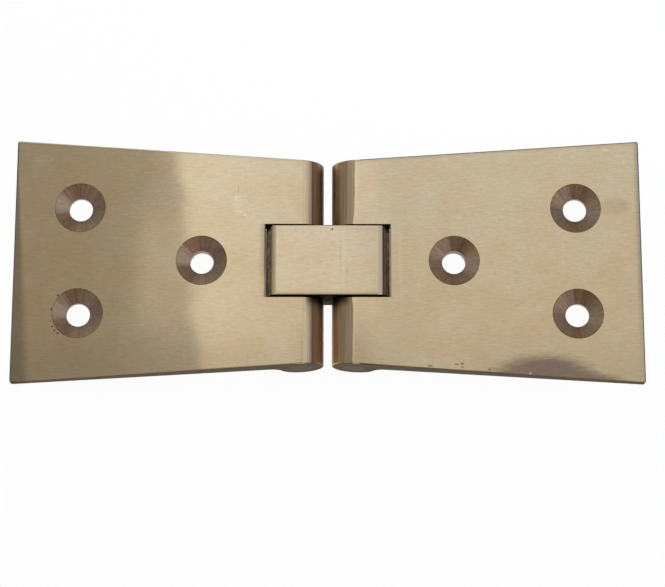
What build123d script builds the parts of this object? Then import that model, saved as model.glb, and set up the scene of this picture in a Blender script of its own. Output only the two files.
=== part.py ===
from build123d import *
import math
import os

# Counterflap hinge, laid flat. Two tapered leaves face each other and each turns on its own
# pin in a short link between them, so a flap folds right over onto the counter beside it.
# The leaf tops and the link top are one flat face, and the barrels stand proud underneath.
# X runs along the hinge, Y along the pins, Z up out of the show face. Millimetres.
# The origin is on the middle of the hinge, level with the undersides of the barrels.

# Overall sizes
leaf_reach = 57.15
leaf_gap = 1.5
outer_width = 45.4
knuckle_width = 37.8

# Barrels and plate
barrel_radius = 4.0
root_thickness = 3.8
tip_thickness = 1.75
root_fillet = 2.5
edge_break = 0.25
corner_break = 0.4

# Pins and link
pin_radius = 2.0
pin_running_clearance = 0.05
link_width = 13.2
link_side_clearance = 0.275
link_offset = 0.1
link_swing_radius = 6.6
link_end_clearance = 0.02
link_top_break = 0.5
link_bottom_break = 1.0
link_edge_break = 0.12
slot_bevel = 0.2

# Screw holes
screw_hole_radius = 2.15
countersink_radius = 4.65
countersink_angle = 118.0
outer_hole_reach = 45.3
outer_hole_spacing = 19.8
middle_hole_reach = 23.0

# Sizes that follow from the ones above
face_height = 2 * barrel_radius
pivot_reach = leaf_gap / 2 + barrel_radius
pivot_height = barrel_radius
slot_reach = pivot_reach + link_swing_radius + link_end_clearance
slot_width = link_width + 2 * link_side_clearance
back_slope = (root_thickness - tip_thickness) / (leaf_reach - slot_reach)
side_slope = (outer_width - knuckle_width) / 2 / (leaf_reach - leaf_gap / 2)
cut_over = 1.0


def back_height(x):
    return face_height - root_thickness + back_slope * (x - slot_reach)


def half_width(x):
    return knuckle_width / 2 + side_slope * (x - leaf_gap / 2)


# The plan outline that the leaf and its pin share, so that the pin ends finish flush.
with BuildSketch(Plane.XY) as leaf_plan:
    with BuildLine():
        Polyline(
            (leaf_gap / 2, -half_width(leaf_gap / 2)),
            (leaf_reach, -half_width(leaf_reach)),
            (leaf_reach, half_width(leaf_reach)),
            (leaf_gap / 2, half_width(leaf_gap / 2)),
            close=True,
        )
    make_face()
    outer_corners = leaf_plan.vertices().group_by(Axis.X)[-1]
    fillet(outer_corners, radius=corner_break)

# The right leaf: a barrel tangent to the show face, running into a back that thins outward.
with BuildPart() as leaf_right:
    with BuildSketch(Plane.XZ) as leaf_profile:
        with BuildLine():
            Polyline(
                (pivot_reach, face_height),
                (leaf_reach, face_height),
                (leaf_reach, back_height(leaf_reach)),
                (pivot_reach, back_height(pivot_reach)),
                close=True,
            )
        make_face()
        with Locations((pivot_reach, pivot_height)):
            Circle(barrel_radius)
        barrel_root = (pivot_reach + barrel_radius, back_height(pivot_reach + barrel_radius))
        inner_corner = leaf_profile.vertices().sort_by_distance(barrel_root)[0]
        fillet(inner_corner, radius=root_fillet)
    extrude(amount=outer_width / 2, both=True)
    extrude(to_extrude=leaf_plan.sketch, amount=face_height, mode=Mode.INTERSECT)
    show_rim = (
        leaf_right.faces().sort_by(Axis.Z)[-1].edges().filter_by_position(
            Axis.X, pivot_reach + edge_break, leaf_reach + edge_break
        )
    )
    fillet(show_rim, radius=edge_break)
    # Slot for the link, open at the knuckle end
    with Locations((slot_reach / 2, 0, face_height / 2)):
        Box(slot_reach, slot_width, face_height + 2 * cut_over, mode=Mode.SUBTRACT)
    slot_end = leaf_right.edges().filter_by(Axis.Y).filter_by_position(
        Axis.X, slot_reach - edge_break, slot_reach + edge_break
    )
    chamfer(slot_end.sort_by(Axis.Z)[-1], length=slot_bevel)
    # Tight bore for the pin, straight through both ears
    with Locations(Location((pivot_reach, 0, pivot_height), (90, 0, 0))):
        Cylinder(pin_radius, outer_width, mode=Mode.SUBTRACT)
    # Countersunk screw holes, two at the outer end and one nearer the knuckle
    with Locations(
        (outer_hole_reach, outer_hole_spacing / 2, face_height),
        (outer_hole_reach, -outer_hole_spacing / 2, face_height),
        (middle_hole_reach, 0, face_height),
    ):
        CounterSinkHole(
            radius=screw_hole_radius,
            counter_sink_radius=countersink_radius,
            counter_sink_angle=countersink_angle,
            depth=root_thickness + cut_over,
        )
leaf_right.part.label = "leaf_right"

with BuildPart() as leaf_left:
    mirror(leaf_right.part, about=Plane.YZ)
leaf_left.part.label = "leaf_left"

# Each pin fills its leaf's ears and runs free in the link; its ends follow the leaf sides.
with BuildPart() as pin_right:
    with Locations(Location((pivot_reach, 0, pivot_height), (90, 0, 0))):
        Cylinder(pin_radius, outer_width)
    extrude(to_extrude=leaf_plan.sketch, amount=face_height, mode=Mode.INTERSECT)
pin_right.part.label = "pin_right"

with BuildPart() as pin_left:
    mirror(pin_right.part, about=Plane.YZ)
pin_left.part.label = "pin_left"

# The link: flat above and below, with each end struck from its own pin's centre so that
# the leaf swings past it. It floats along the pins, and lies a little towards the back ears.
with BuildPart() as link:
    with BuildSketch(Plane.XZ.offset(-link_offset)) as link_profile:
        with Locations((0, pivot_height)):
            Rectangle(2 * pivot_reach, face_height)
        with Locations((pivot_reach, pivot_height), (-pivot_reach, pivot_height)):
            Circle(link_swing_radius)
        with Locations((0, pivot_height)):
            Rectangle(4 * link_swing_radius, face_height, mode=Mode.INTERSECT)
        top_corners = link_profile.vertices().group_by(Axis.Y)[-1]
        fillet(top_corners, radius=link_top_break)
        bottom_corners = link_profile.vertices().group_by(Axis.Y)[0]
        fillet(bottom_corners, radius=link_bottom_break)
    extrude(amount=link_width / 2, both=True)
    end_faces = link.faces().filter_by(Axis.Y)
    chamfer(end_faces.edges(), length=link_edge_break)
    with Locations(
        Location((pivot_reach, 0, pivot_height), (90, 0, 0)),
        Location((-pivot_reach, 0, pivot_height), (90, 0, 0)),
    ):
        Cylinder(pin_radius + pin_running_clearance, link_width + cut_over, mode=Mode.SUBTRACT)
link.part.label = "link"

os.makedirs("parts", exist_ok=True)
export_step(leaf_left.part, "parts/leaf_left.step")
export_step(leaf_right.part, "parts/leaf_right.step")
export_step(link.part, "parts/link.step")
export_step(pin_left.part, "parts/pin_left.step")
export_step(pin_right.part, "parts/pin_right.step")
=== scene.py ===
import math

import bpy
from mathutils import Matrix, Vector

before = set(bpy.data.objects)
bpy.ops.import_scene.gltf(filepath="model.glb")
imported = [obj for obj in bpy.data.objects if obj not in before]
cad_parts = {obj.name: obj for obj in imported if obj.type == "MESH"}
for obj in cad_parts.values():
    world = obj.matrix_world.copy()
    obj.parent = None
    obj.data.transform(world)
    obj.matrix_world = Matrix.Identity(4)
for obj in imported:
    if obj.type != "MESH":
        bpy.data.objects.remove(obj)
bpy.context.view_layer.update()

# Camera, in metres, degrees and pixels of the photograph
CAMERA_AT = Vector((0.00086, -0.09876, 0.38635))
CAMERA_TIP = 13.746
CAMERA_ROLL = 0.049
PHOTO_WIDTH = 665
FOCAL_PIXELS = 2150.0
SENSOR_WIDTH = 36.0
NEAREST_SEEN = 0.01

# Floor, softbox and room, in metres and levels of light
SHOW_FACE = 0.008
FLOOR_SIZE = 6.0
FLOOR_AT = (0.0, 0.0, 0.0)
FLOOR_CLEAR = 0.93
SOFTBOX_SIZE = 0.9
SOFTBOX_HEIGHT = 0.14
SOFTBOX_AT = (0.2, 0.08, SOFTBOX_HEIGHT)
SOFTBOX_POWER = 1.5
PAPER = (0.8, 0.8, 0.8, 1.0)
ROOM = (0.45, 0.45, 0.45, 1.0)
WHITE = (1.0, 1.0, 1.0, 1.0)
WHITE_POWER = 1.03

# The materials work in millimetres
MILLIMETRES = 1000.0

# Colours, as light reflected
LINISHED = (0.560, 0.462, 0.305)
LINISHED_WARM = (0.552, 0.436, 0.273)
ROSY = (1.020, 0.990, 1.012)
OLIVE = (0.990, 1.006, 0.975)
# Rim colours, chosen by the way each rim faces, are painted reflections and shade
RIM_PAINTED_REFLECTION = (0.580, 0.530, 0.450)
RIM_FRONT = (0.500, 0.410, 0.270)
RIM_PAINTED_SHADE = (0.130, 0.120, 0.105)
RIM_BROWN = (0.300, 0.225, 0.150)
RIM_DARK = (0.150, 0.115, 0.085)
EDGE_TARNISH = (0.102, 0.071, 0.043)
EDGE_BRASS = (0.152, 0.111, 0.065)
# Slot wall colours lifted as painted light, where the slot lies in shade
SLOT_PAINTED_LIGHT = (0.950, 0.760, 0.560)
SLOT_PAINTED_LIGHT_STREAK = (0.500, 0.360, 0.250)
# Painted shade, black, in the slot's back corner and on the link's sides
SIDE_PAINTED_SHADE = (0.012, 0.008, 0.005)
BACK_DULL = (0.340, 0.268, 0.160)
BACK_DARK = (0.245, 0.184, 0.105)
BORE_BROWN = (0.300, 0.215, 0.150)
PIN_BRASS = (0.150, 0.110, 0.065)
END_COOL = (0.850, 0.970, 1.200)
END_GREY = (0.600, 0.655, 0.760)
SMUDGE_CORE = (0.228, 0.176, 0.146)
SMUDGE_FADE = (0.252, 0.185, 0.125)
PIT = (0.040, 0.028, 0.018)
PIT_BROWN = (0.210, 0.140, 0.080)
RESIDUE = (0.640, 0.560, 0.420)
STAIN_BROWN = (0.360, 0.260, 0.150)
STAIN_RUSTY = (0.480, 0.320, 0.190)
FLECK = (0.740, 0.660, 0.480)
BRASSY = (0.600, 0.520, 0.265)
LINK_BRIGHTER = (1.06, 1.07, 1.13)
LIGHT_WARM = (1.0, 0.955, 0.880)
LIGHT_COOL = (1.0, 1.040, 1.090)

# Knuckle colours by reach from the middle of the hinge, as far as the belt's edge: the brass's own tones
# with painted highlights and shade of the rounding
KNUCKLE_LEFT = (
    (0.8, (0.280, 0.160, 0.105)), (1.7, (0.285, 0.198, 0.112)), (2.1, (0.210, 0.130, 0.074)),
    (2.5, (0.169, 0.101, 0.054)), (2.8, (0.119, 0.070, 0.038)), (3.15, (0.337, 0.244, 0.165)),
    (3.5, (0.477, 0.370, 0.254)), (3.9, (0.551, 0.447, 0.298)), (4.2, (0.600, 0.490, 0.320)),
)
KNUCKLE_RIGHT = (
    (0.8, (0.170, 0.105, 0.060)), (1.25, (0.620, 0.410, 0.230)), (1.73, (0.375, 0.255, 0.145)),
    (2.1, (0.238, 0.166, 0.090)), (2.46, (0.200, 0.141, 0.080)), (2.83, (0.230, 0.169, 0.102)),
    (3.19, (0.230, 0.172, 0.106)), (3.56, (0.332, 0.259, 0.164)), (4.3, (0.324, 0.245, 0.150)),
    (4.7, (0.315, 0.237, 0.138)),
)

# Link end colours by reach, from the belted top down into the slot: the bright stops are painted light
# where the slot shades the ends, the dark stops painted shade
LINK_LEFT = (
    (9.4, (0.560, 0.460, 0.310)), (9.9, (0.400, 0.330, 0.220)), (10.3, (0.470, 0.385, 0.250)),
    (10.42, (0.190, 0.140, 0.100)), (10.6, (0.760, 0.580, 0.410)), (10.8, (0.900, 0.720, 0.520)),
    (11.0, (0.950, 0.780, 0.570)),
)
LINK_RIGHT = (
    (9.2, (0.560, 0.460, 0.330)), (9.8, (0.500, 0.420, 0.320)), (9.95, (0.200, 0.155, 0.115)),
    (10.13, (0.052, 0.038, 0.026)), (10.3, (0.270, 0.205, 0.150)), (10.7, (0.310, 0.240, 0.175)),
    (10.95, (0.800, 0.650, 0.450)),
)

# Countersink colours by the angle round the hole in degrees, 0 at the right and 90 at the back; their
# light and dark wedges are painted reflections
SINK_RIM = (1.0, 1.0, 0.84)
SINK_LEFT = (
    (-180.0, (0.301, 0.229, 0.180)), (-169.0, (0.248, 0.180, 0.137)), (-164.0, (0.210, 0.129, 0.080)),
    (-115.0, (0.175, 0.107, 0.068)), (-90.0, (0.255, 0.179, 0.115)), (-60.0, (0.227, 0.170, 0.120)),
    (-30.0, (0.175, 0.127, 0.092)), (0.0, (0.129, 0.097, 0.071)), (30.0, (0.148, 0.097, 0.075)),
    (60.0, (0.280, 0.186, 0.142)), (90.0, (0.400, 0.250, 0.170)), (120.0, (0.302, 0.175, 0.122)),
    (147.0, (0.382, 0.270, 0.188)), (154.0, (0.395, 0.300, 0.228)), (180.0, (0.301, 0.229, 0.180)),
)
SINK_RIGHT = (
    (-180.0, (0.174, 0.122, 0.092)), (-150.0, (0.207, 0.143, 0.099)), (-90.0, (0.169, 0.102, 0.057)),
    (-60.0, (0.185, 0.130, 0.084)), (-30.0, (0.266, 0.204, 0.158)), (0.0, (0.230, 0.174, 0.143)),
    (30.0, (0.307, 0.209, 0.132)), (65.0, (0.252, 0.153, 0.094)), (100.0, (0.285, 0.168, 0.110)),
    (106.0, (0.391, 0.242, 0.198)), (145.0, (0.389, 0.275, 0.198)), (180.0, (0.174, 0.122, 0.092)),
)

# Screw holes: reach of the middle hole and of the outer pair, and the pair's place across
MIDDLE_HOLE = 23.0
OUTER_HOLES = 45.3
OUTER_ACROSS = 9.9
BETWEEN_HOLES = (34.0, 34.1)
SINK_RADIUS = 4.65
HOLE_RADIUS = 2.15

# Leaf and link: their own places by reach and, for the slot's sides, across
KNUCKLE_END = (5.6, 5.9)
LINK_BELT = (-9.42, 9.12)
LINK_NOISE_SHIFT = 31.0
SLOT_SIDE = (6.9, 6.98)
SLOT_BEVEL = (11.33, 11.7)
SLOT_END = (11.6, 11.7)
LEAF_END = 57.15

# The leaf's back side: how far across it starts, and how much further it lies for each reach
SIDE_START = 18.85
SIDE_SLOPE = 0.06738

# Marks on each piece: x, y, half-length, half-width, colour, strength
MARKS = {
    "leaf_left": (
        (-48.9, -6.6, 0.22, 0.18, PIT, 0.9),
        (-50.0, -9.2, 0.16, 0.30, PIT, 0.9),
        (-50.1, -11.4, 0.14, 0.14, PIT, 0.7),
        (-49.7, -12.4, 0.20, 0.16, PIT, 0.9),
        (-49.3, -13.1, 0.20, 0.20, PIT, 0.9),
        (-48.7, -13.6, 0.26, 0.16, PIT, 0.9),
        (-4.4, -9.2, 0.5, 0.09, STAIN_BROWN, 0.6),
        (-16.4, 13.6, 0.14, 0.9, STAIN_BROWN, 0.5),
        (-16.5, 10.6, 0.9, 2.4, RESIDUE, 0.25),
        (-15.9, 9.2, 0.30, 0.42, FLECK, 0.35),
        (-16.9, 11.8, 0.28, 0.42, FLECK, 0.35),
        (-15.2, 8.6, 0.35, 0.30, FLECK, 0.3),
        (-26.0, 15.2, 1.5, 2.2, BRASSY, 0.45),
        (-38.8, 0.9, 0.15, 0.9, STAIN_BROWN, 0.25),
        (-53.6, 17.5, 1.0, 2.6, RESIDUE, 0.24),
        (-52.2, 19.2, 2.2, 0.9, RESIDUE, 0.26),
    ),
    "leaf_right": (
        (18.4, -19.6, 0.55, 0.24, PIT_BROWN, 0.75),
        (23.2, -19.3, 0.45, 0.22, PIT_BROWN, 0.7),
        (24.2, -19.2, 0.35, 0.30, PIT_BROWN, 0.7),
        (24.2, -19.8, 0.35, 0.22, PIT_BROWN, 0.6),
        (29.1, -20.2, 0.34, 0.24, PIT_BROWN, 0.7),
        (36.4, -20.95, 0.30, 0.13, RESIDUE, 0.9),
        (52.5, 10.3, 3.2, 1.8, STAIN_BROWN, 0.28),
        (54.0, 10.7, 0.55, 0.45, STAIN_RUSTY, 0.55),
        (54.3, 18.6, 0.30, 0.35, FLECK, 0.5),
        (51.0, 21.0, 0.80, 0.30, FLECK, 0.4),
        (53.4, 19.9, 0.70, 0.30, FLECK, 0.25),
        (13.2, 0.0, 0.5, 7.0, RESIDUE, 0.20),
    ),
    "link": (
        (0.8, 5.9, 0.20, 0.24, PIT, 0.95),
        (2.3, 0.5, 0.22, 6.6, STAIN_BROWN, 0.16),
        (2.95, 0.5, 0.40, 6.6, RESIDUE, 0.22),
        (6.0, 5.9, 3.4, 0.10, STAIN_BROWN, 0.35),
        (3.5, -2.0, 0.12, 0.7, STAIN_BROWN, 0.45),
        (-8.6, 0.8, 0.25, 0.10, STAIN_BROWN, 0.5),
        (-6.6, -4.4, 0.25, 0.12, STAIN_BROWN, 0.4),
    ),
}

# The smudge by the right leaf's front edge: a wide fade in two parts and a greyer core
SMUDGES = (
    (38.9, -22.2, 9.2, 4.4, SMUDGE_FADE, 0.95),
    (46.3, -23.2, 7.2, 2.3, SMUDGE_FADE, 0.9),
    (39.8, -20.0, 4.2, 1.6, SMUDGE_CORE, 0.75),
)

# What differs from one leaf to the other
LEAVES = {
    "leaf_left": {
        "side": -1, "knuckle": KNUCKLE_LEFT, "belt stop": (3.98, 4.18), "sink": SINK_LEFT,
        "back rim": RIM_PAINTED_REFLECTION, "back edge shade": 0.12,
    },
    "leaf_right": {
        "side": 1, "knuckle": KNUCKLE_RIGHT, "belt stop": (4.66, 4.80), "sink": SINK_RIGHT,
        "back rim": RIM_PAINTED_SHADE, "back edge shade": 0.26,
    },
}

# Noise patterns: waves per millimetre, or per degree of turn, along three axes, detail, roughness
PATTERNS = {
    "cloud": ((0.16, 0.2, 0.1), 2.0, 0.5),
    "hue": ((0.33, 0.5, 1.0), 2.0, 0.5),
    "fine marks": ((0.45, 3.6, 1.0), 3.0, 0.65),
    "mottle": ((1.3, 1.8, 1.0), 3.0, 0.6),
    "leaf around": ((7.0, 0.5, 7.0), 2.0, 0.5),
    "leaf streaks": ((4.5, 0.06, 2.0), 2.0, 0.5),
    "belt edge": ((0.28, 1.0, 1.0), 2.0, 0.5),
    "sawn edge": ((0.7, 0.7, 7.0), 3.0, 0.5),
    "cutter chatter": ((0.16, 1.0, 1.0), 2.0, 0.5),
    "cutter scores": ((0.45, 0.15, 1.0), 2.0, 0.5),
    "link around": ((5.0, 0.7, 5.0), 2.0, 0.5),
    "link streaks": ((6.0, 0.1, 4.0), 2.0, 0.5),
    "link blotches": ((2.5, 0.8, 1.5), 3.0, 0.5),
    "filed pin": ((7.0, 0.2, 0.9), 3.0, 0.5),
    "softbox edge": ((0.16, 1.0, 1.0), 2.0, 0.5),
}

# The levels that most noise lies between, and its middle part
NOISE = (0.3, 0.7)
NOISE_MIDDLE = (0.35, 0.65)

# Ranges of a surface's direction along an axis, over which what the name says comes to hold
LEVEL = (0.975, 0.99)
LINK_LEVEL = (0.90, 0.97)
SLOPING = (0.93, 0.97)
UPWARD = (0.2, 0.4)
ABOVE = (-0.2, 0.1)
NOT_DOWN = (-0.9, -0.7)
BACKWARD = (-0.1, 0.1)
OFF_THE_END = (0.1, 0.2)
SIDEWAYS = (0.6, 0.8)
LINK_SIDEWAYS = (0.5, 0.7)

# Roughness: bare brass, what polish takes off it, and what grime and mottling add
BARE_ROUGH = 0.46
SHOW_POLISH = 0.38
CUT_POLISH = 0.14
GRIME_ROUGH = 0.2
MOTTLE_ROUGH = 0.03

# Bump: its strength, its depth in metres, and how much of it each noise makes
BUMP_STRENGTH = 0.3
BUMP_DEPTH = 0.00002
FINE_BUMP = 0.2
AROUND_BUMP = 0.3
MOTTLE_BUMP = 0.6
RING_BUMP = 0.12


class Value:
    """A shader socket that takes part in ordinary sums."""

    def __init__(self, board, socket):
        self.board = board
        self.socket = socket

    def maths(self, operation, *values):
        return self.board.node("ShaderNodeMath", {"operation": operation}, dict(enumerate(values)))

    def __add__(self, other):
        return self.maths("ADD", self, other)

    __radd__ = __add__

    def __sub__(self, other):
        return self.maths("SUBTRACT", self, other)

    def __rsub__(self, other):
        return self.maths("SUBTRACT", other, self)

    def __mul__(self, other):
        return self.maths("MULTIPLY", self, other)

    def __truediv__(self, other):
        return self.maths("DIVIDE", self, other)

    def __abs__(self):
        return self.maths("ABSOLUTE", self)

    def most(self, other):
        return self.maths("MAXIMUM", self, other)

    def root(self):
        return self.maths("SQRT", self)

    def sine(self):
        return self.maths("SINE", self)

    def rise(self, low, high, start=0.0, end=1.0):
        """Goes smoothly from start to end as the value goes from low to high."""
        return self.board.node(
            "ShaderNodeMapRange",
            {"interpolation_type": "SMOOTHSTEP"},
            {"Value": self, "From Min": low, "From Max": high, "To Min": start, "To Max": end},
            "Result",
        )

    def drop(self, low, high, start=1.0, end=0.0):
        """The same, but from 1 down to 0 unless told otherwise."""
        return self.rise(low, high, start, end)

    def within(self, low, high, soft):
        """Is 1 between low and high and fades out over soft on each side."""
        return self.rise(low - soft, low + soft) * self.drop(high - soft, high + soft)

    def ramp(self, stops):
        """The colour that the stops give at this value, where each stop is a place and a colour."""
        low, high = stops[0][0], stops[-1][0]
        stops = [((place - low) / (high - low), tint) for place, tint in stops]
        return self.board.node("ShaderNodeValToRGB", {"stops": stops}, {0: (self - low) / (high - low)})


class Board:
    """The node tree of one material or of the world, and the one way that nodes come into it."""

    def __init__(self, owner):
        owner.use_nodes = True
        self.tree = owner.node_tree
        self.tree.nodes.clear()

    def node(self, kind, settings=None, inputs=None, output=0):
        made = self.tree.nodes.new(kind)
        for name, setting in (settings or {}).items():
            if name == "stops":
                ramp = made.color_ramp
                for place, tint in setting[1:-1]:
                    ramp.elements.new(place).color = (*tint, 1.0)
                ramp.elements[0].color = (*setting[0][1], 1.0)
                ramp.elements[-1].color = (*setting[-1][1], 1.0)
            else:
                setattr(made, name, setting)
        for name, given in (inputs or {}).items():
            if isinstance(given, Value):
                self.tree.links.new(given.socket, made.inputs[name])
            else:
                made.inputs[name].default_value = given
        return Value(self, made.outputs[output]) if made.outputs else None

    def blend(self, amount, first, second, kind="MIX"):
        """Mixes two colours, which are a Mix node's inputs 6 and 7 and its output 2."""
        given = {"Factor": amount, 6: first, 7: second}
        given = {k: (*v, 1.0) if isinstance(v, tuple) else v for k, v in given.items()}
        return self.node("ShaderNodeMix", {"data_type": "RGBA", "blend_type": kind}, given, 2)

    def grey(self, level):
        return self.node("ShaderNodeCombineColor", inputs={0: level, 1: level, 2: level})

    def tinted(self, colour, tint, amount=1.0):
        """The colour multiplied by a tint."""
        return self.blend(amount, colour, tint, "MULTIPLY")

    def shaded(self, colour, shade, amount=1.0):
        """The colour made darker or lighter by a number."""
        return self.tinted(colour, self.grey(shade), amount)

    def split(self, kind):
        vector = self.node("ShaderNodeTexCoord", output=kind)
        return [self.node("ShaderNodeSeparateXYZ", inputs={0: vector}, output=axis) for axis in range(3)]

    def place(self):
        """The point's place on the object in millimetres."""
        return [value * MILLIMETRES for value in self.split("Object")]

    def facing(self):
        """The surface's own direction, which turns with the piece."""
        return self.split("Normal")

    def noise(self, pattern, *place):
        """Noise from 0 to 1 in one of the patterns."""
        waves, detail, roughness = PATTERNS[pattern]
        scaled = [value * wave for value, wave in zip(place, waves)]
        where = self.node("ShaderNodeCombineXYZ", inputs=dict(enumerate(scaled)))
        inputs = {"Vector": where, "Scale": 1.0, "Detail": detail, "Roughness": roughness}
        return self.node("ShaderNodeTexNoise", {"noise_dimensions": "3D"}, inputs, "Fac")

    def seen_as_background(self):
        """1 for rays from the camera and for the ones that metal and glass mirror, else 0."""
        path = self.node("ShaderNodeLightPath", output="Is Camera Ray")
        rays = path.socket.node.outputs
        return path.most(Value(self, rays["Is Glossy Ray"])).most(Value(self, rays["Is Transmission Ray"]))

    def end_in(self, shader, kind="Material"):
        self.node("ShaderNodeOutput" + kind, inputs={"Surface": shader})

    def finish(self, colour, metallic, roughness, height):
        bump = {"Strength": BUMP_STRENGTH, "Distance": BUMP_DEPTH, "Height": height}
        normal = self.node("ShaderNodeBump", inputs=bump, output="Normal")
        inputs = {"Base Color": colour, "Metallic": metallic, "Roughness": roughness, "Normal": normal}
        inputs["Specular IOR Level"] = 0.0
        self.end_in(self.node("ShaderNodeBsdfPrincipled", inputs=inputs))


# Linished brass: its shades by noise, and a shift that keeps its hues off its other noise
FINE_SHADE = (0.945, 1.055)
MOTTLE_SHADE = (0.965, 1.035)
HUE_SHIFT = 7.0

# Where two noises together turn the dull back dark
BACK_PATCHES = (0.7, 1.3)


def linished_colour(board, x, y, z):
    """Brass as the belt left it: clouded, with short fine marks along the hinge."""
    cloud = board.noise("cloud", x, y, z)
    hue = board.noise("hue", x, y, z + HUE_SHIFT)
    fine = board.noise("fine marks", x, y, z)
    mottle = board.noise("mottle", x, y, z)
    colour = board.blend(cloud.rise(*NOISE_MIDDLE), LINISHED, LINISHED_WARM)
    colour = board.tinted(colour, board.blend(hue.rise(*NOISE), ROSY, OLIVE))
    grain = board.grey(fine.rise(*NOISE, *FINE_SHADE) * mottle.rise(*NOISE, *MOTTLE_SHADE))
    return colour, grain, fine, mottle, cloud


def dull_back(board, around, cloud):
    return board.blend((around + cloud).rise(*BACK_PATCHES), BACK_DULL, BACK_DARK)


def brass_roughness(polish, grimy, mottle):
    return BARE_ROUGH - polish + grimy * GRIME_ROUGH + (mottle - 0.5) * MOTTLE_ROUGH


# How raggedly marks end, and the part of their size over which marks and smudges fade out
RAGGEDNESS = 0.4
MARK_FADE = (0.55, 1.15)
SMUDGE_FADE_OUT = (0.7, 1.3)


def add_marks(board, marks, colour, x, y, show, ragged, fade=MARK_FADE):
    """Pits, stains and residue, each a ragged spot that fades out from its core to its edge."""
    core, rim = fade
    for at_x, at_y, long, wide, tint, strength in marks:
        dx = (x - at_x) / long
        dy = (y - at_y) / wide
        away = (dx * dx + dy * dy).root() + (ragged - 0.5) * RAGGEDNESS
        colour = board.blend(away.drop(core, rim, strength) * show, colour, tint)
    return colour


# The belt's edge on the knuckles: how far it wanders, and on the right leans and dips by the slot
BELT_WANDER = 0.24
WANDER_SHIFT = 3.0
BELT_LEAN = 0.012
BELT_DIP = 0.2
BELT_DIP_ACROSS = (7.0, 9.5)

# Knuckle shades: streaks, the lighter front, a painted shadow before the link, and on the right a tilt
# from front to back beside the gap
STREAK_SHADE = (0.84, 1.18)
FRONT_SHADE = (-10.5, -8.0, 1.08, 0.98)
PAINTED_SHADOW_FRONT = (-8.9, -7.0)
PAINTED_SHADOW_BEHIND = (-1.0, 0.0, 0.82, 0.0)
PAINTED_SHADOW_REACH = (3.0, 4.6)
TILT_ACROSS = (-12.0, -4.0, 1.0, -0.6)
TILT_REACH = (2.0, 2.6, 0.42, -0.10)


def knuckle_rounds(board, own, reach, y, streak):
    """The belt's edge, and the knuckle's rounds up to it, streaked along the barrel, in the brass's own
    tones with painted highlights and shade.
    """
    wander = board.noise("belt edge", y, 0.0, WANDER_SHIFT + own["side"])
    belt_edge = reach + (wander - 0.5) * BELT_WANDER
    # A painted shadow on the knuckles in front of the link
    painted_shadow = y.rise(*PAINTED_SHADOW_FRONT) * y.drop(*PAINTED_SHADOW_BEHIND) * reach.drop(*PAINTED_SHADOW_REACH)
    shade = streak.rise(*NOISE, *STREAK_SHADE) * (y.drop(*FRONT_SHADE) - painted_shadow)
    if own["side"] > 0:
        belt_edge = belt_edge - y * BELT_LEAN + abs(y).drop(*BELT_DIP_ACROSS) * BELT_DIP
        shade = shade * (y.drop(*TILT_ACROSS) * reach.drop(*TILT_REACH) + 1.0)
    return belt_edge, board.shaded(belt_edge.ramp(own["knuckle"]), shade)


# Countersinks: where the bore ends and the cone begins, and their shades by radius
BORE = (HOLE_RADIUS + 0.03, HOLE_RADIUS + 0.1)
CUT = (SINK_RADIUS - 0.02, SINK_RADIUS + 0.06)
RIM_TINT = (3.7, 4.4)
RIM_SHADE = (4.4, 4.6, 1.0, 0.72)

# The cutter's marks: wobble and scored part in degrees of turn, rings in radians per millimetre
CUTTER_WOBBLE = 12.0
CHATTER_SHADE = (0.90, 1.10)
SCORED = (60.0, 150.0, 20.0)
SCORE_SHADE = 1.5
RING_SHADES = 16.0
RING_SHADE = 0.03
RING_RIDGES = 26.0
SINK_MOTTLE_SHADE = (0.89, 1.11)


def countersinks(board, own, x, y, reach, facing_z, mottle):
    """Where the cones and bores are, their colour with painted reflections, and the rings that the cutter
    left.
    """
    # Measured from the nearest screw hole: the middle one, or one of the outer pair
    outer = reach.rise(*BETWEEN_HOLES)
    half = y.maths("SIGN", y)
    dx = x - (outer * (OUTER_HOLES - MIDDLE_HOLE) + MIDDLE_HOLE) * own["side"]
    dy = y - outer * half * OUTER_ACROSS
    radius = (dx * dx + dy * dy).root()
    turn = dy.maths("ARCTAN2", dy, dx) * math.degrees(1.0)

    chatter = board.noise("cutter chatter", turn, outer, half * outer)
    scores = board.noise("cutter scores", turn, radius, outer + half)
    # Colour by turn round the hole, with painted reflections in light and dark wedges
    sunk = (turn + (chatter - 0.5) * CUTTER_WOBBLE).ramp(own["sink"])
    sunk = board.tinted(sunk, SINK_RIM, radius.rise(*RIM_TINT))
    shade = chatter.rise(*NOISE_MIDDLE, *CHATTER_SHADE) * radius.drop(*RIM_SHADE)
    shade = shade * ((scores - 0.5) * turn.within(*SCORED) * SCORE_SHADE + 1.0)
    shade = shade * ((radius * RING_SHADES).sine() * RING_SHADE + 1.0)
    shade = shade * mottle.rise(*NOISE, *SINK_MOTTLE_SHADE)
    bore = radius.drop(*BORE)
    sunk = board.blend(bore, board.shaded(sunk, shade), BORE_BROWN)
    cut = radius.drop(*CUT) * facing_z.drop(*SLOPING)
    rings = (radius * RING_RIDGES).sine() * RING_BUMP
    return cut, bore, sunk, rings


# Leaf rims, sawn edges, slot, and painted shade along the back edge, in millimetres
RIM_BROWNER = (8.0, 11.0)
SAWN_BRASS = (0.42, 0.72)
SLOT_CORNER_SHADE = (5.7, 6.4)
BEVEL_SOFT = 0.03
BEVEL_UP = (0.4, 0.5)
BEVEL_SHADE_ACROSS = (-4.0, -1.0)
BACK_EDGE_SHADE_WIDTH = (0.15, 0.85)

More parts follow.
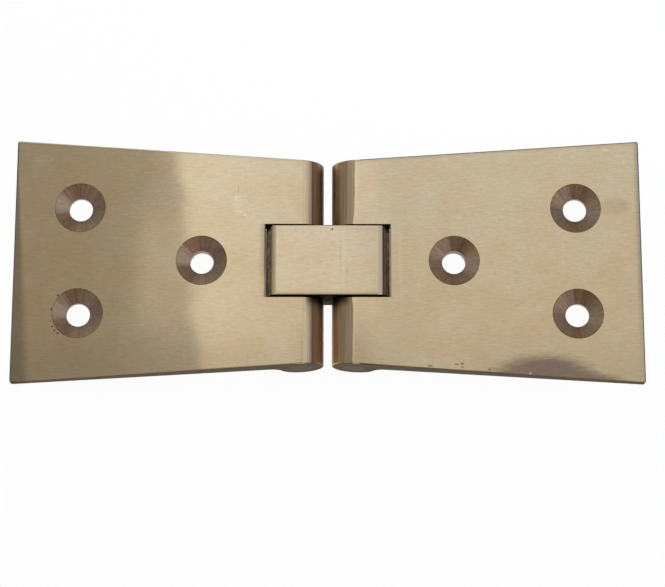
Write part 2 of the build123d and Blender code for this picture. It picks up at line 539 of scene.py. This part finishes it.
# Outer ends: ranges from the end inwards, and across with the levels at the front and the back
COOL_END = (0.2, 1.3)
COOL_ACROSS = (-20.0, 14.0, 0.3, 1.0)
GREY_END = (0.1, 1.3)
GREY_ACROSS = (-19.0, -3.0, 0.3, 1.0)
DARK_END = (0.45, 1.15, 0.62, 1.0)
DARK_WIDTH = 1.85
DARK_LEAN = -0.085
DARK_LEAST = 0.4

# Painted shade beside the left slot's end, and a painted highlight along the crease where the belt stopped
# on the right
SLOT_END_SHADE_REACH = (11.5, 12.8)
SLOT_END_SHADE_ACROSS = (-4.0, -1.0, 0.14, 0.30)
BELT_EDGE_HIGHLIGHT = (5.0, 5.8, 1.06, 1.0)

# How grimy edges and bores are, and how much less metallic grime makes a leaf
EDGE_GRIME = 0.6
BORE_GRIME = 0.3
LEAF_GRIME_DULLS = 0.75


def leaf_brass(name):
    """Brass for one leaf."""
    own = LEAVES[name]
    side = own["side"]
    material = bpy.data.materials.new(name + "_brass")
    board = Board(material)
    x, y, z = board.place()
    facing_x, facing_y, facing_z = board.facing()
    reach = x * side
    linished, grain, fine, mottle, cloud = linished_colour(board, x, y, z)
    around = board.noise("leaf around", x, y, z)
    streak = board.noise("leaf streaks", reach, y, z)
    sawn = board.noise("sawn edge", x, y, z)

    # The show face: what the belt reached of the flat, and of the barrel up to where it stopped
    belt_edge, rounds = knuckle_rounds(board, own, reach, y, streak)
    knuckle = reach.drop(*KNUCKLE_END)
    flat = facing_z.rise(*LEVEL)
    show = belt_edge.rise(*own["belt stop"]) * flat.most(knuckle * facing_z.rise(*UPWARD))

    # The back, and above it the rounds and the rim, whose painted reflections and shade differ in front,
    # behind and at the end
    rim_front = RIM_FRONT if side < 0 else board.blend(reach.rise(*RIM_BROWNER), RIM_DARK, RIM_BROWN)
    rim = board.blend(facing_y.rise(*BACKWARD), rim_front, own["back rim"])
    rim = board.blend(abs(facing_y).rise(*OFF_THE_END), RIM_DARK, rim)
    above = board.blend(knuckle, rim, rounds)
    rest = board.blend(facing_z.rise(*ABOVE), dull_back(board, around, cloud), above)

    # Dark sawn edges
    edge = abs(facing_y).rise(*SIDEWAYS).most((facing_x * side).rise(*SIDEWAYS))
    rest = board.blend(edge, rest, board.blend(sawn.rise(*SAWN_BRASS), EDGE_TARNISH, EDGE_BRASS))

    # Slot walls lifted with painted light, painted shade black in the back corner, and a bevel painted
    # darker towards the back on the left
    in_slot = abs(y).drop(*SLOT_SIDE)
    wall = in_slot * reach.drop(*SLOT_END) * facing_z.drop(*UPWARD)
    walls = board.blend(streak.rise(*NOISE_MIDDLE), SLOT_PAINTED_LIGHT, SLOT_PAINTED_LIGHT_STREAK)
    rest = board.blend(wall, rest, board.blend(y.rise(*SLOT_CORNER_SHADE), walls, SIDE_PAINTED_SHADE))
    bevel = in_slot * reach.within(*SLOT_BEVEL, BEVEL_SOFT) * facing_z.rise(*BEVEL_UP)
    bevel_shaded = board.blend(y.rise(*BEVEL_SHADE_ACROSS), LINISHED, BACK_DULL) if side < 0 else LINISHED
    rest = board.blend(bevel, rest, bevel_shaded)

    # Painted shade along the back edge of the face
    from_side = reach * SIDE_SLOPE + SIDE_START - y
    linished = board.blend(from_side.drop(*BACK_EDGE_SHADE_WIDTH, own["back edge shade"]), linished, RIM_PAINTED_SHADE)
    colour = board.blend(show, rest, linished)
    from_end = LEAF_END - reach
    if side < 0:
        # Cooler at the outer end, and darker there in a band that widens towards the front
        colour = board.tinted(colour, END_COOL, from_end.drop(*COOL_END) * y.rise(*COOL_ACROSS))
        shade = (from_end / (y * DARK_LEAN + DARK_WIDTH).most(DARK_LEAST)).rise(*DARK_END)
        # Painted shade beside the slot's end, deeper towards the back
        shade = shade * (1.0 - in_slot * reach.drop(*SLOT_END_SHADE_REACH) * y.rise(*SLOT_END_SHADE_ACROSS))
    else:
        # Greyer at the outer end, and a painted highlight along the crease where the belt stopped
        colour = board.tinted(colour, END_GREY, from_end.drop(*GREY_END) * y.rise(*GREY_ACROSS))
        shade = belt_edge.drop(*BELT_EDGE_HIGHLIGHT)
    colour = board.shaded(colour, shade)
    if side > 0:
        colour = add_marks(board, SMUDGES, colour, x, y, show, fine, SMUDGE_FADE_OUT)
    colour = add_marks(board, MARKS[name], colour, x, y, show, mottle)
    colour = board.tinted(colour, grain, show)

    cut, bore, sunk, rings = countersinks(board, own, x, y, reach, facing_z, mottle)
    colour = board.blend(cut, colour, sunk)
    grimy = wall.most(edge * (1.0 - cut) * EDGE_GRIME).most(bore * cut * BORE_GRIME)
    roughness = brass_roughness(show * SHOW_POLISH + cut * CUT_POLISH, grimy, mottle)
    height = (around * AROUND_BUMP + mottle * MOTTLE_BUMP + sawn * edge) * (1.0 - show)
    height = height + fine * show * FINE_BUMP + rings * cut
    board.finish(colour, 1.0 - grimy * LEAF_GRIME_DULLS, roughness, height)
    return material


# The link's halves and rounded ends, by place along the hinge
BELT_SOFT = 0.06
RIGHT_HALF = (-0.1, 0.1)
ROUND_END = (8.9, 9.0)
GRIMY_END = (9.9, 10.2)
BLOTCHED_END = (10.2, 10.5)
BLOTCH_SHADE = (0.38, 0.6, 0.6, 1.2)
END_STREAKS = (0.35, 0.65, 1.1, 0.7)
END_STREAKS_LEAN = 0.02
LINK_CORNER_SHADE = (5.6, 6.4, 1.0, 0.12)

# The link's sides, where shade is painted: ranges along from the middle, and up
BETWEEN_BARRELS = (2.5, 4.5)
ABOVE_BARRELS = (2.0, 4.5)
BY_SHOW_FACE = (5.5, 6.8)

# The link's top: a dim front, a dark line along its front edge, and a dimmer right part
FRONT_DIM = (-6.3, -5.6, 0.78, 1.0)
FRONT_LINE = (-6.36, -6.16, 0.8)
RIGHT_DIM = (2.0, 3.6, 1.0, 0.945)

# How grimy the link's ends and sides are, and how much less metallic grime makes it
END_GRIME = 0.5
SIDE_GRIME = 0.8
LINK_GRIME_DULLS = 0.88


def link_brass():
    """Brass for the link: belted on top, worn round its ends and grimy at its sides."""
    material = bpy.data.materials.new("link_brass")
    board = Board(material)
    x, y, z = board.place()
    facing_y, facing_z = board.facing()[1:]
    linished, grain, fine, mottle, cloud = linished_colour(board, x + LINK_NOISE_SHIFT, y, z)
    around = board.noise("link around", x, y, z)
    streak = board.noise("link streaks", x, y, z)
    blotch = board.noise("link blotches", x, y, z)
    show = x.within(*LINK_BELT, BELT_SOFT) * facing_z.rise(*LINK_LEVEL)

    # Rounded ends, blotched and streaked down in the slot, and painted shade black in its back corner
    rounds = board.blend(x.rise(*RIGHT_HALF), (x * -1.0).ramp(LINK_LEFT), x.ramp(LINK_RIGHT))
    shade = blotch.rise(*BLOTCH_SHADE) * (streak - y * END_STREAKS_LEAN).drop(*END_STREAKS)
    shade = shade * y.drop(*LINK_CORNER_SHADE)
    rounds = board.shaded(rounds, shade, abs(x).rise(*BLOTCHED_END))
    at_end = abs(x).rise(*ROUND_END) * facing_z.rise(*NOT_DOWN)
    rest = board.blend(at_end, dull_back(board, around, cloud), rounds)

    # Painted shade makes its sides blackest between the barrels and by the show face
    sides = abs(facing_y).rise(*LINK_SIDEWAYS)
    between = abs(x).drop(*BETWEEN_BARRELS) * z.rise(*ABOVE_BARRELS)
    sawn = board.blend(around.rise(*NOISE_MIDDLE), EDGE_TARNISH, EDGE_BRASS)
    rest = board.blend(sides, rest, board.blend(between.most(z.rise(*BY_SHOW_FACE)), sawn, SIDE_PAINTED_SHADE))

    # The top is a little brighter than the leaves
    top = board.tinted(linished, LINK_BRIGHTER)
    top = board.shaded(top, y.rise(*FRONT_DIM) * x.drop(*RIGHT_DIM))
    top = board.blend(y.drop(*FRONT_LINE), top, RIM_DARK)
    colour = board.blend(show, rest, top)
    colour = add_marks(board, MARKS["link"], colour, x, y, show, mottle)
    colour = board.tinted(colour, grain, show)

    in_slot = abs(x).rise(*GRIMY_END) * facing_z.rise(*NOT_DOWN)
    grimy = (in_slot * END_GRIME).most(sides * SIDE_GRIME) * (1.0 - show)
    roughness = brass_roughness(show * SHOW_POLISH, grimy, mottle)
    height = fine * show * FINE_BUMP + (around * AROUND_BUMP + mottle) * (1.0 - show)
    board.finish(colour, 1.0 - grimy * LINK_GRIME_DULLS, roughness, height)
    return material


# The pins: how noise colours and roughens them
FILED_TARNISH = (0.2, 0.8)
PIN_ROUGHNESS = (0.42, 0.58)
PIN_METALLIC = 0.55


def pin_brass():
    """Brass for the pins: dull and filed across."""
    material = bpy.data.materials.new("pin_brass")
    board = Board(material)
    filed = board.noise("filed pin", *board.place())
    colour = board.blend(filed.rise(*FILED_TARNISH), PIN_BRASS, EDGE_TARNISH)
    board.finish(colour, PIN_METALLIC, filed.rise(*NOISE, *PIN_ROUGHNESS), filed)
    return material


def floor_paper():
    """Clear where it is looked at, so that the white beyond it and what dips below it are seen,
    with a trace of paper left in for the object's shadow."""
    material = bpy.data.materials.new("floor_paper")
    board = Board(material)
    paper = board.node("ShaderNodeBsdfDiffuse", inputs={"Color": PAPER})
    clear = board.node("ShaderNodeBsdfTransparent")
    amount = board.seen_as_background() * FLOOR_CLEAR
    board.end_in(board.node("ShaderNodeMixShader", inputs={0: amount, 1: paper, 2: clear}))
    return material


# Softbox brightness by the place along the hinge that mirrors it, on each side of its edge
SOFTBOX_DIM = (
    (-110.0, 0.95), (-62.0, 0.51), (-46.0, 0.53), (-38.0, 0.57), (-33.0, 0.60), (-29.0, 0.67),
    (-25.0, 0.70),
)
SOFTBOX_BRIGHT = (
    (-28.0, 1.21), (-22.0, 1.20), (-12.0, 1.13), (-4.0, 1.07), (0.0, 1.07), (5.5, 1.12),
    (9.0, 1.04), (12.0, 0.96), (18.0, 0.98), (30.0, 0.985), (60.0, 0.96),
)

# A shelf of middling light before the edge, across the middle of the hinge
SHELF_LEVEL = 0.78
SHELF_ALONG = (-36.5, -32.5)
SHELF_ACROSS = (-12.5, 8.5, 4.0)

# The edge: its place along, its slant, its softness, how far it wanders, and its steps, each from
# and to a place across the hinge, with the shift there
EDGE_AT = -25.2
EDGE_SLANT = 0.118
EDGE_SOFTNESS = (2.0, 14.0, 0.6, 0.28)
EDGE_WANDER = 1.6
EDGE_STEPS = ((-17.6, -14.0, -0.4), (-11.6, -8.0, 0.9), (10.8, 14.2, -0.6))
STEP_SOFT = 0.9
BACK_STEP = (15.0, 18.0, 0.0, 0.4)

# How the light falls off: steadily to the front, more in a front strip that is darker on the left
# and lighter on the right, beside the gap, and far behind the hinge
FALL_FROM = 17.0
FALL_LEAST = -9.0
FALL_RATE = 0.0028
FRONT_STRIP = (-20.0, -11.0, 0.09)
STRIP_LEFT = (-29.0, -11.0, 3.0)
STRIP_LEFT_MORE = 0.6
STRIP_RIGHT = (13.0, 25.0, 4.0)
STRIP_RIGHT_LESS = 0.7
GAP_ALONG = (-4.0, 8.0, 3.0)
GAP_ACROSS = (-17.0, -6.0, 0.22)
FAR_BEHIND = (50.0, 110.0, 1.0, 0.75)

# Where the light is cool: along the dim side, and across the bright side
COOL_DIM_SIDE = (-40.0, -31.0, 0.0, 0.5)
COOL_BRIGHT_SIDE = (-22.0, 20.0, 0.25, 1.0)


def softbox_levels(along, stops):
    return along.ramp([(at, (level / SOFTBOX_POWER,) * 3) for at, level in stops])


def softbox_cloth():
    """A broad light above, dim on the left, whose edge is mirrored across the left leaf."""
    material = bpy.data.materials.new("softbox_cloth")
    board = Board(material)
    x, y = board.place()[:2]
    # The place on the show face, in millimetres, where the camera sees each point mirrored
    spread = 1.0 + (SOFTBOX_HEIGHT - SHOW_FACE) / (CAMERA_AT.z - SHOW_FACE)
    along = (x - CAMERA_AT.x * MILLIMETRES) / spread + CAMERA_AT.x * MILLIMETRES
    across = (y - CAMERA_AT.y * MILLIMETRES) / spread + CAMERA_AT.y * MILLIMETRES

    shift = (board.noise("softbox edge", across, 0.0, 0.0) - 0.5) * EDGE_WANDER
    for low, high, step in EDGE_STEPS:
        shift = shift + across.within(low, high, STEP_SOFT) * step
    shift = shift + across.rise(*BACK_STEP)
    from_edge = along + across * EDGE_SLANT + shift - EDGE_AT
    edge = (from_edge / across.drop(*EDGE_SOFTNESS)).rise(-1.0, 1.0)

    shelf = along.rise(*SHELF_ALONG) * across.within(*SHELF_ACROSS)
    dim = board.blend(shelf, softbox_levels(along, SOFTBOX_DIM), board.grey(SHELF_LEVEL / SOFTBOX_POWER))
    level = board.blend(edge, dim, softbox_levels(along, SOFTBOX_BRIGHT))

    strip = 1.0 + along.within(*STRIP_LEFT) * STRIP_LEFT_MORE
    strip = strip - along.within(*STRIP_RIGHT) * STRIP_RIGHT_LESS
    fall = 1.0 - (FALL_FROM - across).most(FALL_LEAST) * FALL_RATE
    fall = fall - across.drop(*FRONT_STRIP) * strip
    fall = fall - along.within(*GAP_ALONG) * across.drop(*GAP_ACROSS)
    fall = fall * across.drop(*FAR_BEHIND)
    cool = along.rise(*COOL_DIM_SIDE).most(edge * across.rise(*COOL_BRIGHT_SIDE))
    level = board.tinted(level, board.blend(cool, LIGHT_WARM, LIGHT_COOL))
    level = board.shaded(level, fall)
    board.end_in(board.node("ShaderNodeEmission", inputs={"Color": level, "Strength": SOFTBOX_POWER}))
    return material


def give(node, material):
    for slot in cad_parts[node].material_slots:
        slot.material = material


def stage_sheet(name, size, at, material):
    bpy.ops.object.select_all(action="DESELECT")
    bpy.ops.mesh.primitive_plane_add(size=size, location=at)
    plane = bpy.context.object
    plane.name = name
    bpy.ops.object.transform_apply(location=True, rotation=True, scale=True)
    plane.data.materials.append(material)
    return plane


for leaf in LEAVES:
    give(leaf, leaf_brass(leaf))
give("link", link_brass())
pin_finish = pin_brass()
give("pin_left", pin_finish)
give("pin_right", pin_finish)

stage_sheet("floor", FLOOR_SIZE, FLOOR_AT, floor_paper())
softbox = stage_sheet("softbox", SOFTBOX_SIZE, SOFTBOX_AT, softbox_cloth())
softbox.visible_camera = False
softbox.visible_shadow = False

# White where it is looked at, grey as a light
world = bpy.data.worlds.new("studio")
bpy.context.scene.world = world
sky = Board(world)
room = sky.node("ShaderNodeBackground", inputs={"Color": ROOM, "Strength": 1.0})
white = sky.node("ShaderNodeBackground", inputs={"Color": WHITE, "Strength": WHITE_POWER})
seen = sky.seen_as_background()
sky.end_in(sky.node("ShaderNodeMixShader", inputs={0: seen, 1: room, 2: white}), "World")

lens = bpy.data.cameras.new("camera")
lens.sensor_width = SENSOR_WIDTH
lens.lens = FOCAL_PIXELS / PHOTO_WIDTH * lens.sensor_width
lens.clip_start = NEAREST_SEEN
camera = bpy.data.objects.new("camera", lens)
bpy.context.collection.objects.link(camera)
tip = Matrix.Rotation(math.radians(CAMERA_TIP), 4, "X")
roll = Matrix.Rotation(math.radians(CAMERA_ROLL), 4, "Z")
camera.matrix_world = Matrix.Translation(CAMERA_AT) @ (tip @ roll)
bpy.context.scene.camera = camera
bpy.context.scene.view_settings.view_transform = "Standard"
